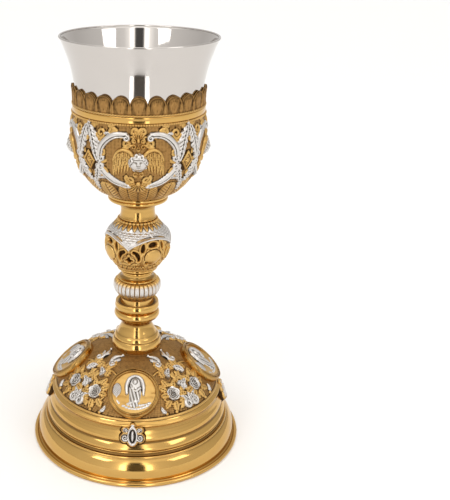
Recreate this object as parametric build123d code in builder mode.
from build123d import *
import math
import os

os.makedirs("parts", exist_ok=True)

# A communion chalice: a silver cup screwed into a chased calyx, on a stem of turned and
# spun pieces threaded over one tie rod, on a domed foot. Millimetres, +Z up, the origin
# at the centre of the foot's resting face, the front medallion towards -Y.

# Driving radii
FOOT_R = 75.0
DOME_R = 58.2
CROWN_R = 16.4
CUP_LIP_R = 51.0
CALYX_R = 43.6

# Sheet thicknesses
CUP_WALL = 1.0
SPUN_WALL = 1.0
SHELL_WALL = 1.2

# Heights of the seams between pieces, from the table up
RIM_TOP = 3.0
SKIRT_TOP = 41.0
CROWN_Z = 68.7
BELL_TOP = 90.9
TORUS_TOP = 98.2
DISH_TOP = 107.2
LEAF_TOP = 111.0
GADROON_TOP = 121.3
SAUCER_TOP = 126.0
COLLAR_TOP = 131.0
KNOP_MID = 146.6
KNOP_TOP = 160.3
PETAL_TOP = 163.6
NECK_TOP = 177.2
CALYX_FLOOR = 184.0
COUPLING_TOP = CALYX_FLOOR + 2.9
WASHER_TOP = COUPLING_TOP + 1.2
CUP_FLOOR = WASHER_TOP + 2.4
BAND_Z = 239.7
CUP_TOP = 286.3

# The M8 fixings down the middle
ROD_R = 4.0
THREAD_GAP = 0.06
ROD_HOLE_R = 4.3
STEM_BORE_R = 8.3
BARREL_R = 8.0
COUPLING_FOOT = 158.0
ROD_TOP = 169.5
STUD_FOOT = 171.0
NUT_ACROSS_FLATS = 13.0
NUT_HEIGHT = 6.5
WASHER_HEIGHT = 1.6
CROWN_PLATE_HEIGHT = 4.0
ROD_STANDOFF = 2.0

# Ornament that repeats round the axis
CARTOUCHES = 4
MEDALLIONS = 4
LOBES = 24
FLUTES = 30
BEADS = 30
PETALS = 20
LEAVES = 16
BASE_TURN = -2.0
KNOP_TURN = -17.0
GAP = 0.35


def outward(points, lift):
    """The points of an outline that climbs from bottom to top, moved out by lift."""
    moved = []
    for index, (radius, height) in enumerate(points):
        below = points[max(index - 1, 0)]
        above = points[min(index + 1, len(points) - 1)]
        run = above[0] - below[0]
        rise = above[1] - below[1]
        length = math.hypot(run, rise)
        moved.append((radius + lift * rise / length, height - lift * run / length))
    return moved


def strip(inner, outer):
    """Half section between two smooth outlines, closed by a straight edge at each end."""
    with BuildLine() as edge:
        Spline(*inner)
        Spline(*outer)
        Line(inner[0], outer[0])
        Line(inner[-1], outer[-1])
    make_face(edge.edges())


def turned(outer, bore):
    """Half section of a turned piece: a smooth outside, flat ends and a straight bore."""
    with BuildLine() as edge:
        Spline(*outer)
        Polyline(outer[-1], (bore, outer[-1][1]), (bore, outer[0][1]), outer[0])
    make_face(edge.edges())


def round_bead(low, middle, high, bore):
    """Half section of a ring whose outside is one arc, with a straight bore."""
    with BuildLine() as edge:
        ThreePointArc(low, middle, high)
        Polyline(high, (bore, high[1]), (bore, low[1]), low)
    make_face(edge.edges())


# ---------------------------------------------------------------- outlines that pieces share

DOME_OUTLINE = [
    (DOME_R, SKIRT_TOP),
    (57.4, 44.2),
    (55.0, 47.0),
    (51.0, 51.3),
    (46.0, 56.0),
    (40.0, 60.2),
    (34.0, 63.6),
    (28.0, 66.2),
    (22.0, 67.9),
    (CROWN_R, CROWN_Z),
]

CALYX_OUTLINE = [
    (21.0, CALYX_FLOOR),
    (28.5, 188.3),
    (34.0, 194.3),
    (38.5, 201.5),
    (41.5, 209.0),
    (43.2, 217.0),
    (CALYX_R, 224.0),
    (43.2, 231.0),
    (42.6, 238.5),
    (42.3, 244.0),
    (42.5, 250.0),
    (43.2, 256.0),
]

CUP_OUTLINE = [
    (12.0, CUP_FLOOR),
    (24.0, 193.6),
    (33.0, 201.0),
    (37.8, 211.0),
    (39.9, 222.0),
    (40.7, 234.0),
    (41.1, 246.0),
    (41.7, 256.0),
    (42.8, 263.0),
    (44.5, 270.0),
    (47.3, 278.0),
    (CUP_LIP_R, CUP_TOP),
]

SKIRT_OUTLINE = [
    (59.6, SKIRT_TOP),
    (60.6, 38.8),
    (60.3, 36.6),
    (60.7, 34.2),
    (62.4, 31.2),
    (62.8, 29.4),
    (62.4, 27.6),
    (62.9, 26.2),
    (64.7, 24.0),
    (65.0, 22.4),
    (63.8, 20.8),
    (63.7, 18.2),
    (66.6, 17.2),
    (69.2, 14.3),
    (70.7, 11.4),
    (71.5, 8.0),
    (71.5, RIM_TOP),
]


def solid_foot():
    """The foot's outer shape, filled, for fitting ornament against."""
    with BuildPart() as mass:
        with BuildSketch(Plane.XZ):
            with BuildLine():
                Spline(*DOME_OUTLINE)
                Polyline((CROWN_R, CROWN_Z), (0, CROWN_Z), (0, RIM_TOP), SKIRT_OUTLINE[-1])
                Polyline(*SKIRT_OUTLINE)
                Line(SKIRT_OUTLINE[0], DOME_OUTLINE[0])
            make_face()
        revolve(axis=Axis.Z)
    return mass.part


def skin(outline, lift):
    """A layer of even thickness lying on a shell's outside, for cutting ornament from."""
    with BuildPart() as layer:
        with BuildSketch(Plane.XZ):
            strip(outline, outward(outline, lift))
        revolve(axis=Axis.Z)
    return layer.part


def calyx_ornament(draw, lift):
    """One ornament on the calyx's front, drawn on X and Z and lying on its curved wall."""
    with BuildPart() as ornament:
        with BuildSketch(Plane.XZ):
            draw()
        extrude(amount=CALYX_R + lift + 5)
        add(skin(CALYX_OUTLINE, lift), mode=Mode.INTERSECT)
    return ornament.part


def dome_ornament(draw, lift):
    """One ornament on the dome, drawn in plan and lying on its curved wall."""
    with BuildPart() as ornament:
        with BuildSketch(Plane.XY.offset(SKIRT_TOP)):
            draw()
        extrude(amount=CROWN_Z)
        add(skin(DOME_OUTLINE, lift), mode=Mode.INTERSECT)
    return ornament.part


# ---------------------------------------------------------------- foot

with BuildPart() as base_rim:
    with BuildSketch(Plane.XZ):
        with BuildLine():
            Polyline((72.6, RIM_TOP), (68.5, RIM_TOP), (68.5, 0), (73.6, 0))
            ThreePointArc((73.6, 0), (FOOT_R, 1.5), (73.6, RIM_TOP))
            Line((73.6, RIM_TOP), (72.6, RIM_TOP))
        make_face()
    revolve(axis=Axis.Z)
base_rim.part.label = "base_rim"
export_step(base_rim.part, "parts/base_rim.step")

with BuildPart() as base_skirt:
    with BuildSketch(Plane.XZ):
        inside = [(radius - SPUN_WALL, height) for radius, height in SKIRT_OUTLINE[1:]]
        with BuildLine():
            Polyline(*SKIRT_OUTLINE)
            Line(SKIRT_OUTLINE[-1], inside[-1])
            Polyline(*inside)
            Polyline(inside[0], (54.0, inside[0][1] + 1.0), (54.0, SKIRT_TOP), SKIRT_OUTLINE[0])
        make_face()
    revolve(axis=Axis.Z)
base_skirt.part.label = "base_skirt"
export_step(base_skirt.part, "parts/base_skirt.step")

with BuildPart() as base_dome:
    with BuildSketch(Plane.XZ):
        strip(DOME_OUTLINE, outward(DOME_OUTLINE, -SPUN_WALL))
    revolve(axis=Axis.Z)
    split(bisect_by=Plane.XY.offset(SKIRT_TOP), keep=Keep.TOP)
    with BuildSketch(Plane.XY.offset(CROWN_Z - SPUN_WALL)):
        Circle(CROWN_R)
    extrude(amount=SPUN_WALL)
    with BuildSketch(Plane.XY.offset(CROWN_Z)):
        Circle(ROD_HOLE_R)
    extrude(amount=-2 * SPUN_WALL, mode=Mode.SUBTRACT)
base_dome.part.label = "base_dome"
export_step(base_dome.part, "parts/base_dome.step")

crown_plate_foot = CROWN_Z - SPUN_WALL - CROWN_PLATE_HEIGHT
with BuildPart() as crown_plate:
    with BuildSketch(Plane.XY.offset(crown_plate_foot)):
        Circle(14.0)
        Circle(ROD_HOLE_R, mode=Mode.SUBTRACT)
    extrude(amount=CROWN_PLATE_HEIGHT)
    chamfer(crown_plate.faces().sort_by(Axis.Z)[0].outer_wire().edges(), length=1.0)
crown_plate.part.label = "crown_plate"
export_step(crown_plate.part, "parts/crown_plate.step")

with BuildPart() as base_washer:
    with BuildSketch(Plane.XY.offset(crown_plate_foot - WASHER_HEIGHT)):
        Circle(9.0)
        Circle(ROD_HOLE_R, mode=Mode.SUBTRACT)
    extrude(amount=WASHER_HEIGHT)
base_washer.part.label = "base_washer"
export_step(base_washer.part, "parts/base_washer.step")

nut_foot = crown_plate_foot - WASHER_HEIGHT - NUT_HEIGHT
with BuildPart() as base_nut:
    with BuildSketch(Plane.XY.offset(nut_foot)):
        RegularPolygon(NUT_ACROSS_FLATS / 2, 6, major_radius=False)
        Circle(ROD_R + THREAD_GAP, mode=Mode.SUBTRACT)
    extrude(amount=NUT_HEIGHT)
    with BuildSketch(Plane.XY.offset(nut_foot)):
        Circle(NUT_ACROSS_FLATS / 2 * 1.09)
    extrude(amount=NUT_HEIGHT, mode=Mode.INTERSECT)
base_nut.part.label = "base_nut"
export_step(base_nut.part, "parts/base_nut.step")

with BuildPart() as tie_rod:
    with BuildSketch(Plane.XY.offset(nut_foot - ROD_STANDOFF)):
        Circle(ROD_R)
    extrude(amount=ROD_TOP - nut_foot + ROD_STANDOFF)
    chamfer(tie_rod.edges().filter_by(GeomType.CIRCLE), length=0.6)
tie_rod.part.label = "tie_rod"
export_step(tie_rod.part, "parts/tie_rod.step")


# ---------------------------------------------------------------- medallions and foot ornament

MEDALLION_R = 17.5
FRAME_WIDTH = 2.6
FRAME_LIFT = 1.6
PLATE_R = MEDALLION_R - FRAME_WIDTH
PLATE_DEPTH = 1.0
MEDALLION_SLOPE = 51.4
medallion_plane = Plane(
    origin=(0, -46.9, 56.6),
    x_dir=(1, 0, 0),
    z_dir=(0, -math.cos(math.radians(MEDALLION_SLOPE)), math.sin(math.radians(MEDALLION_SLOPE))),
)
foot_mass = solid_foot()

with BuildPart() as one_frame:
    with BuildSketch(medallion_plane):
        Circle(MEDALLION_R)
        Circle(PLATE_R, mode=Mode.SUBTRACT)
    extrude(amount=FRAME_LIFT)
    fillet(one_frame.faces().sort_by(Axis.Z)[-1].edges(), radius=0.6)
    with BuildSketch(medallion_plane):
        Circle(MEDALLION_R)
        Circle(PLATE_R, mode=Mode.SUBTRACT)
    extrude(amount=-4.0)
    add(foot_mass, mode=Mode.SUBTRACT)

with BuildPart() as medallion_frames:
    with PolarLocations(0, MEDALLIONS, start_angle=BASE_TURN):
        add(one_frame.part)
medallion_frames.part.label = "medallion_frames"
export_step(medallion_frames.part, "parts/medallion_frames.step")

with BuildPart() as one_plate:
    with BuildSketch(medallion_plane.offset(-PLATE_DEPTH / 2)):
        Circle(PLATE_R)
    extrude(amount=PLATE_DEPTH)
    add(foot_mass, mode=Mode.SUBTRACT)

with BuildPart() as medallion_plates:
    with PolarLocations(0, MEDALLIONS, start_angle=BASE_TURN):
        add(one_plate.part)
medallion_plates.part.label = "medallion_plates"
export_step(medallion_plates.part, "parts/medallion_plates.step")

figure_plane = medallion_plane.offset(PLATE_DEPTH / 2)
with BuildPart() as one_figure:
    with BuildSketch(figure_plane):
        with BuildLine():
            Spline((-5.5, -9.5), (-2.6, -3.0), (-3.4, 4.0), (-2.4, 9.6), (1.4, 11.8), (4.6, 9.0))
            Spline((4.6, 9.0), (4.0, 3.0), (6.2, -2.0), (4.0, -9.5))
            Line((4.0, -9.5), (-5.5, -9.5))
        make_face()
        with Locations((-9.4, 2.0)):
            Ellipse(2.4, 4.6)
        with Locations((0, -11.6)):
            Ellipse(7.0, 1.9)
    extrude(amount=1.5)

with BuildPart() as medallion_figures:
    with PolarLocations(0, MEDALLIONS, start_angle=BASE_TURN):
        add(one_figure.part)
medallion_figures.part.label = "medallion_figures"
export_step(medallion_figures.part, "parts/medallion_figures.step")

PENDANT_HALF_WIDTH = 7.8
PENDANT_HALF_HEIGHT = 8.2
PENDANT_DEPTH = 8.0
PENDANT_SLOPE = 22.0
pendant_plane = Plane(
    origin=(0, -64.4, 33.6),
    x_dir=(1, 0, 0),
    z_dir=(0, -math.cos(math.radians(PENDANT_SLOPE)), math.sin(math.radians(PENDANT_SLOPE))),
)
with BuildPart() as one_pendant:
    with BuildSketch(pendant_plane):
        Ellipse(PENDANT_HALF_WIDTH, PENDANT_HALF_HEIGHT)
    extrude(amount=-PENDANT_DEPTH)
    add(foot_mass, mode=Mode.SUBTRACT)
    add(one_frame.part, mode=Mode.SUBTRACT)

with BuildPart() as base_pendants:
    with PolarLocations(0, MEDALLIONS, start_angle=BASE_TURN):
        add(one_pendant.part)
base_pendants.part.label = "base_pendants"
export_step(base_pendants.part, "parts/base_pendants.step")


def polar_point(radius, angle):
    """A point in plan, its angle measured from the front towards +X."""
    turn = math.radians(angle)
    return (radius * math.sin(turn), -radius * math.cos(turn))


ROSE_R = 4.6
ROSE_PLACES = [(49.0, 33.0)]
BUD_PLACES = [(46.6, 45.0), (37.0, 37.5)]
ROSE_LEAF_PLACES = [(42.4, 28.5), (41.2, 45.0), (55.0, 32.0), (49.0, 25.6), (31.6, 36.0)]
ACANTHUS_PLACES = [(54.2, 45.0)]
FLANK_LEAF_PLACES = [(55.6, 21.6)]
CROWN_SCROLL_PLACES = [(23.6, 31.0)]


def across_gap(places):
    """Each place and its mirror image in the gap between two medallions."""
    mirrored = [(radius, 360 / MEDALLIONS - angle) for radius, angle in places]
    return sorted(set(places + mirrored))


def draw_roses():
    for radius, angle in across_gap(ROSE_PLACES):
        with Locations(polar_point(radius, angle)):
            Circle(ROSE_R)


def draw_buds():
    for radius, angle in across_gap(BUD_PLACES):
        with Locations(Location(polar_point(radius, angle), angle)):
            Ellipse(3.8, 2.6)


def draw_rose_leaves():
    for radius, angle in across_gap(ROSE_LEAF_PLACES):
        with Locations(Location(polar_point(radius, angle), angle - 90)):
            Ellipse(1.9, 2.7)
    for radius, angle in across_gap(ROSE_PLACES):
        with Locations(polar_point(radius, angle)):
            Circle(ROSE_R + GAP, mode=Mode.SUBTRACT)


def draw_acanthus():
    for radius, angle in ACANTHUS_PLACES:
        with Locations(Location(polar_point(radius, angle), angle)):
            Ellipse(5.2, 3.2)


def draw_flank_leaves():
    for radius, angle in across_gap(FLANK_LEAF_PLACES):
        with Locations(Location(polar_point(radius, angle), angle)):
            Ellipse(1.1, 2.0)


def draw_crown_scrolls():
    for radius, angle in across_gap(CROWN_SCROLL_PLACES):
        with Locations(Location(polar_point(radius, angle), angle)):
            Ellipse(2.4, 4.6)


def foot_ornament(draw, lift):
    """An ornament in every gap between the medallions."""
    with BuildPart() as piece:
        add(dome_ornament(draw, lift))
        add(medallion_frames.part.rotate(Axis.Z, -BASE_TURN), mode=Mode.SUBTRACT)
    with BuildPart() as whole:
        with PolarLocations(0, MEDALLIONS, start_angle=BASE_TURN):
            add(piece.part)
    return whole.part


roses = foot_ornament(draw_roses, 3.4)
roses.label = "roses"
export_step(roses, "parts/roses.step")

rose_buds = foot_ornament(draw_buds, 2.8)
rose_buds.label = "rose_buds"
export_step(rose_buds, "parts/rose_buds.step")

rose_leaves = foot_ornament(draw_rose_leaves, 1.6)
rose_leaves.label = "rose_leaves"
export_step(rose_leaves, "parts/rose_leaves.step")

foot_acanthus = foot_ornament(draw_acanthus, 2.2)
foot_acanthus.label = "foot_acanthus"
export_step(foot_acanthus, "parts/foot_acanthus.step")

flank_leaves = foot_ornament(draw_flank_leaves, 1.8)
flank_leaves.label = "flank_leaves"
export_step(flank_leaves, "parts/flank_leaves.step")

crown_scrolls = foot_ornament(draw_crown_scrolls, 2.4)
crown_scrolls.label = "crown_scrolls"
export_step(crown_scrolls, "parts/crown_scrolls.step")


# ---------------------------------------------------------------- stem

with BuildPart() as stem_bell:
    with BuildSketch(Plane.XZ):
        with BuildLine():
            ThreePointArc((CROWN_R - 0.2, CROWN_Z), (17.7, 72.2), (16.6, 76.2))
            Line((16.6, 76.2), (16.0, 76.4))
            ThreePointArc((16.0, 76.4), (15.8, 78.2), (14.9, 79.6))
            Line((14.9, 79.6), (14.3, 79.8))
            Spline((14.3, 79.8), (12.9, 82.3), (11.2, 85.0), (10.8, 87.4), (11.4, 89.6), (12.4, BELL_TOP))
            Polyline(
                (12.4, BELL_TOP),
                (STEM_BORE_R, BELL_TOP),
                (STEM_BORE_R, CROWN_Z),
                (CROWN_R - 0.2, CROWN_Z),
            )
        make_face()
    revolve(axis=Axis.Z)
stem_bell.part.label = "stem_bell"
export_step(stem_bell.part, "parts/stem_bell.step")

with BuildPart() as stem_torus:
    with BuildSketch(Plane.XZ):
        round_bead((12.2, BELL_TOP), (15.9, 95.0), (14.8, TORUS_TOP), STEM_BORE_R)
    revolve(axis=Axis.Z)
stem_torus.part.label = "stem_torus"
export_step(stem_torus.part, "parts/stem_torus.step")

with BuildPart() as stem_dish:
    with BuildSketch(Plane.XZ):
        with BuildLine():
            ThreePointArc((14.8, TORUS_TOP), (15.5, 101.2), (14.7, 104.2))
            ThreePointArc((14.7, 104.2), (12.6, 103.6), (11.5, 105.2))
            Line((11.5, 105.2), (11.2, DISH_TOP))
            Polyline(
                (11.2, DISH_TOP),
                (STEM_BORE_R, DISH_TOP),
                (STEM_BORE_R, TORUS_TOP),
                (14.8, TORUS_TOP),
            )
        make_face()
    revolve(axis=Axis.Z)
stem_dish.part.label = "stem_dish"
export_step(stem_dish.part, "parts/stem_dish.step")

with BuildPart() as leaf_collar:
    with BuildSketch(Plane.XZ):
        turned([(11.6, DISH_TOP), (12.6, 109.2), (14.2, LEAF_TOP)], STEM_BORE_R)
    revolve(axis=Axis.Z)
    with BuildSketch(Plane.XY.offset(DISH_TOP)):
        with PolarLocations(12.5, LEAVES):
            Circle(0.7)
    extrude(amount=2.0, mode=Mode.SUBTRACT)
leaf_collar.part.label = "leaf_collar"
export_step(leaf_collar.part, "parts/leaf_collar.step")

with BuildPart() as gadroon_ring:
    with BuildSketch(Plane.XZ):
        turned(
            [(14.2, LEAF_TOP), (16.3, 113.4), (17.3, 116.4), (16.6, 119.2), (13.6, GADROON_TOP)],
            STEM_BORE_R,
        )
    revolve(axis=Axis.Z)
    with BuildSketch(Plane.XY.offset(LEAF_TOP)):
        with PolarLocations(17.5, FLUTES):
            Circle(0.55)
    extrude(amount=GADROON_TOP - LEAF_TOP, mode=Mode.SUBTRACT)
gadroon_ring.part.label = "gadroon_ring"
export_step(gadroon_ring.part, "parts/gadroon_ring.step")

with BuildPart() as gadroon_saucer:
    with BuildSketch(Plane.XZ):
        with BuildLine():
            ThreePointArc((13.2, GADROON_TOP), (13.6, 121.9), (13.0, 122.5))
            Spline((13.0, 122.5), (11.6, 122.9), (10.5, 124.3), (10.6, SAUCER_TOP))
            Polyline(
                (10.6, SAUCER_TOP),
                (ROD_HOLE_R, SAUCER_TOP),
                (ROD_HOLE_R, GADROON_TOP),
                (13.2, GADROON_TOP),
            )
        make_face()
    revolve(axis=Axis.Z)
gadroon_saucer.part.label = "gadroon_saucer"
export_step(gadroon_saucer.part, "parts/gadroon_saucer.step")

with BuildPart() as knop_collar:
    with BuildSketch(Plane.XZ):
        with BuildLine():
            ThreePointArc((10.8, SAUCER_TOP), (11.7, 126.9), (11.2, 127.9))
            ThreePointArc((11.2, 127.9), (12.6, 129.2), (14.2, COLLAR_TOP))
            Polyline(
                (14.2, COLLAR_TOP),
                (STEM_BORE_R, COLLAR_TOP),
                (STEM_BORE_R, SAUCER_TOP),
                (10.8, SAUCER_TOP),
            )
        make_face()
    revolve(axis=Axis.Z)
knop_collar.part.label = "knop_collar"
export_step(knop_collar.part, "parts/knop_collar.step")

with BuildPart() as knop_core:
    with BuildSketch(Plane.XY.offset(SAUCER_TOP)):
        Circle(BARREL_R)
        Circle(ROD_HOLE_R + 0.7, mode=Mode.SUBTRACT)
    extrude(amount=COUPLING_FOOT - SAUCER_TOP)
knop_core.part.label = "knop_core"
export_step(knop_core.part, "parts/knop_core.step")


# ---------------------------------------------------------------- knop

LOWER_KNOP = [(14.2, COLLAR_TOP), (16.6, 134.4), (19.6, 138.2), (21.8, 142.4), (22.4, KNOP_MID)]
UPPER_KNOP = [(22.4, KNOP_MID), (22.4, 150.4), (21.6, 154.2), (19.8, 157.6), (17.2, KNOP_TOP)]

with BuildPart() as knop_lower_shell:
    with BuildSketch(Plane.XZ):
        strip(LOWER_KNOP, outward(LOWER_KNOP, -SHELL_WALL))
    revolve(axis=Axis.Z)
    with BuildSketch(Plane.XY.offset(COLLAR_TOP)):
        Circle(14.2)
        Circle(STEM_BORE_R, mode=Mode.SUBTRACT)
    extrude(amount=SHELL_WALL)
    with BuildSketch(Plane.XY.offset(COLLAR_TOP)):
        with PolarLocations(19.0, 3 * CARTOUCHES, start_angle=KNOP_TURN):
            Circle(1.1)
    extrude(amount=10, mode=Mode.SUBTRACT)
    split(bisect_by=Plane.XY.offset(KNOP_MID), keep=Keep.BOTTOM)
knop_lower_shell.part.label = "knop_lower_shell"
export_step(knop_lower_shell.part, "parts/knop_lower_shell.step")

with BuildPart() as knop_upper_shell:
    with BuildSketch(Plane.XZ):
        strip(UPPER_KNOP, outward(UPPER_KNOP, -SHELL_WALL))
    revolve(axis=Axis.Z)
    with BuildSketch(Plane.XY.offset(KNOP_TOP)):
        Circle(17.2)
        Circle(STEM_BORE_R, mode=Mode.SUBTRACT)
    extrude(amount=-SHELL_WALL)
    split(bisect_by=Plane.XY.offset(KNOP_MID), keep=Keep.TOP)
knop_upper_shell.part.label = "knop_upper_shell"
export_step(knop_upper_shell.part, "parts/knop_upper_shell.step")

with BuildPart() as petal_collar:
    with BuildSketch(Plane.XZ):
        turned([(17.0, KNOP_TOP), (15.8, 162.2), (13.8, PETAL_TOP)], STEM_BORE_R)
    revolve(axis=Axis.Z)
    with BuildSketch(Plane.XY.offset(KNOP_TOP)):
        with PolarLocations(17.4, PETALS):
            Circle(0.7)
    extrude(amount=PETAL_TOP - KNOP_TOP, mode=Mode.SUBTRACT)
petal_collar.part.label = "petal_collar"
export_step(petal_collar.part, "parts/petal_collar.step")


# ---------------------------------------------------------------- neck

NECK_SEAT_R = 11.4
BEAD_R = 1.2
with BuildPart() as neck_beads:
    with BuildSketch(Plane.XY.offset(PETAL_TOP)):
        Circle(NECK_SEAT_R + 1.6)
        Circle(NECK_SEAT_R + GAP, mode=Mode.SUBTRACT)
    extrude(amount=1.2)
    with Locations((0, 0, PETAL_TOP + BEAD_R)):
        with PolarLocations(NECK_SEAT_R + GAP + BEAD_R, BEADS):
            Sphere(BEAD_R)
neck_beads.part.label = "neck_beads"
export_step(neck_beads.part, "parts/neck_beads.step")

with BuildPart() as neck_collar:
    with BuildSketch(Plane.XZ):
        with BuildLine():
            Polyline(
                (13.8, NECK_TOP),
                (STEM_BORE_R, NECK_TOP),
                (STEM_BORE_R, PETAL_TOP),
                (NECK_SEAT_R, PETAL_TOP),
                (NECK_SEAT_R, PETAL_TOP + 2 * BEAD_R),
                (12.6, PETAL_TOP + 2 * BEAD_R + 0.2),
            )
            Spline((12.6, PETAL_TOP + 2 * BEAD_R + 0.2), (11.9, 168.6), (11.6, 172.0), (12.0, 175.0))
            ThreePointArc((12.0, 175.0), (12.6, 176.5), (13.8, NECK_TOP))
        make_face()
    revolve(axis=Axis.Z)
neck_collar.part.label = "neck_collar"
export_step(neck_collar.part, "parts/neck_collar.step")


# ---------------------------------------------------------------- calyx

with BuildPart() as calyx_foot_ring:
    with BuildSketch(Plane.XZ):
        with BuildLine():
            Spline((14.0, NECK_TOP), (15.6, 178.4), (18.4, 179.4))
            ThreePointArc((18.4, 179.4), (20.4, 180.6), (19.6, 182.0))
            ThreePointArc((19.6, 182.0), (20.8, 182.8), (20.6, CALYX_FLOOR))
            Polyline(
                (20.6, CALYX_FLOOR),
                (STEM_BORE_R, CALYX_FLOOR),
                (STEM_BORE_R, NECK_TOP),
                (14.0, NECK_TOP),
            )
        make_face()
    revolve(axis=Axis.Z)
calyx_foot_ring.part.label = "calyx_foot_ring"
export_step(calyx_foot_ring.part, "parts/calyx_foot_ring.step")

CALYX_WALL = 0.9
LOBE_Z = 250.6
with BuildPart() as crown_lobes:
    with PolarLocations(0, LOBES):
        Cylinder(
            radius=math.pi * CALYX_R / LOBES - 0.15,
            height=60,
            rotation=(0, 90, 0),
            align=(Align.CENTER, Align.CENTER, Align.MIN),
        )
with BuildPart() as calyx_shell:
    with BuildSketch(Plane.XZ):
        strip(CALYX_OUTLINE, outward(CALYX_OUTLINE, -CALYX_WALL))
    revolve(axis=Axis.Z)
    with BuildSketch(Plane.XY.offset(CALYX_FLOOR)):
        Circle(21.0)
        Circle(STEM_BORE_R, mode=Mode.SUBTRACT)
    extrude(amount=CALYX_WALL)
    with BuildSketch(Plane.XY.offset(LOBE_Z)):
        Circle(CALYX_R + 2)
        Circle(CALYX_R - 4, mode=Mode.SUBTRACT)
    extrude(amount=CUP_TOP - LOBE_Z, mode=Mode.SUBTRACT)
with BuildPart() as crown_edge:
    with BuildSketch(Plane.XZ):
        strip(CALYX_OUTLINE, outward(CALYX_OUTLINE, -CALYX_WALL))
    revolve(axis=Axis.Z)
    add(crown_lobes.part.moved(Location((0, 0, LOBE_Z))), mode=Mode.INTERSECT)
with calyx_shell:
    add(crown_edge.part)
calyx_shell.part.label = "calyx_shell"
export_step(calyx_shell.part, "parts/calyx_shell.step")

CALYX_TOP_Z = CALYX_OUTLINE[-1][1]
with BuildPart() as calyx_mass:
    with BuildSketch(Plane.XZ):
        with BuildLine():
            Spline(*CALYX_OUTLINE)
            Polyline(CALYX_OUTLINE[-1], (0, CALYX_TOP_Z), (0, CALYX_FLOOR), CALYX_OUTLINE[0])
        make_face()
    revolve(axis=Axis.Z)

BAND_HEIGHT = 4.0
with BuildPart() as calyx_band:
    with BuildSketch(Plane.XZ):
        with Locations((42.55, BAND_Z + BAND_HEIGHT / 2)):
            Rectangle(1.3, BAND_HEIGHT)
    revolve(axis=Axis.Z)
    add(calyx_mass.part, mode=Mode.SUBTRACT)
calyx_band.part.label = "calyx_band"
export_step(calyx_band.part, "parts/calyx_band.step")

WIRE_R = 0.8
with BuildPart() as bead_wire:
    with BuildSketch(Plane.XZ):
        with Locations((43.0, BAND_Z - WIRE_R)):
            Circle(WIRE_R)
    revolve(axis=Axis.Z)
    add(calyx_mass.part, mode=Mode.SUBTRACT)
bead_wire.part.label = "bead_wire"
export_step(bead_wire.part, "parts/bead_wire.step")

with BuildPart() as rope_wire:
    with BuildSketch(Plane.XZ):
        with Locations((42.7, BAND_Z + BAND_HEIGHT + WIRE_R)):
            Circle(WIRE_R)
    revolve(axis=Axis.Z)
    add(calyx_mass.part, mode=Mode.SUBTRACT)
rope_wire.part.label = "rope_wire"
export_step(rope_wire.part, "parts/rope_wire.step")


# ---------------------------------------------------------------- calyx ornament

CARTOUCHE_Z = 215.5
CARTOUCHE_W = 24.6
CARTOUCHE_H = 18.6
SCROLL_WIDTH = 3.4
HEAD_Z = 214.0
HEAD_R = 5.6


def draw_scrolls():
    with Locations((0, CARTOUCHE_Z)):
        Ellipse(CARTOUCHE_W, CARTOUCHE_H)
        Ellipse(CARTOUCHE_W - SCROLL_WIDTH, CARTOUCHE_H - SCROLL_WIDTH, mode=Mode.SUBTRACT)
        Rectangle(13.0, 2 * CARTOUCHE_H + 2, mode=Mode.SUBTRACT)
        Rectangle(2 * CARTOUCHE_W + 2, 2.4, mode=Mode.SUBTRACT)


def draw_head():
    with Locations((0, HEAD_Z)):
        Circle(HEAD_R)


def draw_wings():
    for side in (-1, 1):
        with Locations(Location((side * 12.2, CARTOUCHE_Z), side * 28.0)):
            Ellipse(7.6, 4.4)
    with Locations((0, HEAD_Z)):
        Circle(HEAD_R + GAP, mode=Mode.SUBTRACT)


def draw_palmette():
    with Locations((0, 232.6)):
        Ellipse(5.6, 4.6)


def draw_shell():
    with Locations((0, 198.4)):
        Ellipse(5.8, 4.4)


def draw_lozenge():
    with Locations((0, CARTOUCHE_Z - 1.0)):
        with Locations(Location((0, 0), 45)):
            Rectangle(6.6, 6.6)


def draw_spray():
    for side in (-1, 1):
        with Locations(Location((side * 4.4, 228.0), -side * 14.0)):
            Ellipse(2.6, 7.2)
    with Locations((0, 199.0)):
        Ellipse(PENDANT_HALF_WIDTH, PENDANT_HALF_HEIGHT)


ornament = {
    "cartouche_scrolls": calyx_ornament(draw_scrolls, 1.8),
    "cherub_heads": calyx_ornament(draw_head, 4.2),
    "cherub_wings": calyx_ornament(draw_wings, 2.2),
    "cartouche_palmettes": calyx_ornament(draw_palmette, 1.6),
    "cartouche_shells": calyx_ornament(draw_shell, 1.6),
    "lozenge_rosettes": calyx_ornament(draw_lozenge, 1.8),
    "acanthus_sprays": calyx_ornament(draw_spray, 2.0),
}

with BuildPart() as cartouche_scrolls:
    with PolarLocations(0, CARTOUCHES):
        add(ornament["cartouche_scrolls"])
cartouche_scrolls.part.label = "cartouche_scrolls"
export_step(cartouche_scrolls.part, "parts/cartouche_scrolls.step")

with BuildPart() as cherub_heads:
    with PolarLocations(0, CARTOUCHES):
        add(ornament["cherub_heads"])
cherub_heads.part.label = "cherub_heads"
export_step(cherub_heads.part, "parts/cherub_heads.step")

with BuildPart() as cherub_wings:
    with PolarLocations(0, CARTOUCHES):
        add(ornament["cherub_wings"])
cherub_wings.part.label = "cherub_wings"
export_step(cherub_wings.part, "parts/cherub_wings.step")

with BuildPart() as cartouche_palmettes:
    with PolarLocations(0, CARTOUCHES):
        add(ornament["cartouche_palmettes"])
cartouche_palmettes.part.label = "cartouche_palmettes"
export_step(cartouche_palmettes.part, "parts/cartouche_palmettes.step")

with BuildPart() as cartouche_shells:
    with PolarLocations(0, CARTOUCHES):
        add(ornament["cartouche_shells"])
cartouche_shells.part.label = "cartouche_shells"
export_step(cartouche_shells.part, "parts/cartouche_shells.step")

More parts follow.
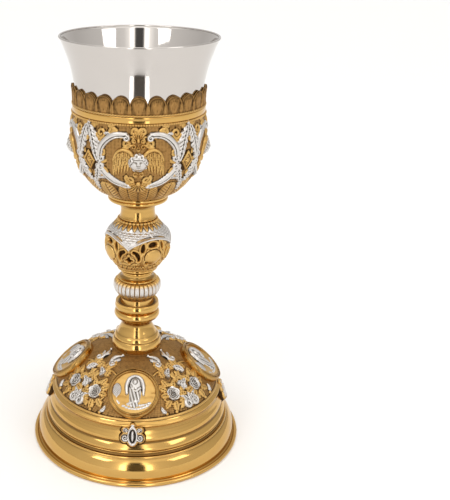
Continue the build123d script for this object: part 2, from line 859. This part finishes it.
with BuildPart() as lozenge_rosettes:
    with PolarLocations(0, CARTOUCHES, start_angle=45):
        add(ornament["lozenge_rosettes"])
lozenge_rosettes.part.label = "lozenge_rosettes"
export_step(lozenge_rosettes.part, "parts/lozenge_rosettes.step")

with BuildPart() as acanthus_sprays:
    with PolarLocations(0, CARTOUCHES, start_angle=45):
        add(ornament["acanthus_sprays"])
acanthus_sprays.part.label = "acanthus_sprays"
export_step(acanthus_sprays.part, "parts/acanthus_sprays.step")


# ---------------------------------------------------------------- cup and its screw seat

with BuildPart() as rod_coupling:
    with BuildSketch(Plane.XY.offset(COUPLING_FOOT)):
        Circle(BARREL_R)
    extrude(amount=COUPLING_TOP - COUPLING_FOOT)
    with BuildSketch(Plane.XY.offset(CALYX_FLOOR + CALYX_WALL)):
        Circle(11.0)
    extrude(amount=COUPLING_TOP - CALYX_FLOOR - CALYX_WALL)
    with BuildSketch(Plane.XY.offset(COUPLING_FOOT)):
        Circle(ROD_R + THREAD_GAP)
    extrude(amount=COUPLING_TOP - COUPLING_FOOT, mode=Mode.SUBTRACT)
rod_coupling.part.label = "rod_coupling"
export_step(rod_coupling.part, "parts/rod_coupling.step")

with BuildPart() as cup_washer:
    with BuildSketch(Plane.XY.offset(COUPLING_TOP)):
        Circle(10.6)
        Circle(ROD_R + THREAD_GAP, mode=Mode.SUBTRACT)
    extrude(amount=WASHER_TOP - COUPLING_TOP)
cup_washer.part.label = "cup_washer"
export_step(cup_washer.part, "parts/cup_washer.step")

with BuildPart() as cup_stud:
    with BuildSketch(Plane.XY.offset(STUD_FOOT)):
        Circle(ROD_R)
    extrude(amount=WASHER_TOP - STUD_FOOT)
    chamfer(cup_stud.edges().filter_by(GeomType.CIRCLE).sort_by(Axis.Z)[0], length=0.6)
    with BuildSketch(Plane.XY.offset(WASHER_TOP)):
        Circle(11.0)
    extrude(amount=CUP_FLOOR - WASHER_TOP)
cup_stud.part.label = "cup_stud"
export_step(cup_stud.part, "parts/cup_stud.step")

with BuildPart() as cup_liner:
    with BuildSketch(Plane.XZ):
        strip(CUP_OUTLINE, outward(CUP_OUTLINE, -CUP_WALL))
    revolve(axis=Axis.Z)
    with BuildSketch(Plane.XY.offset(CUP_FLOOR)):
        Circle(CUP_OUTLINE[0][0])
    extrude(amount=CUP_WALL)
    split(bisect_by=Plane.XY.offset(CUP_TOP), keep=Keep.BOTTOM)
cup_liner.part.label = "cup_liner"
export_step(cup_liner.part, "parts/cup_liner.step")
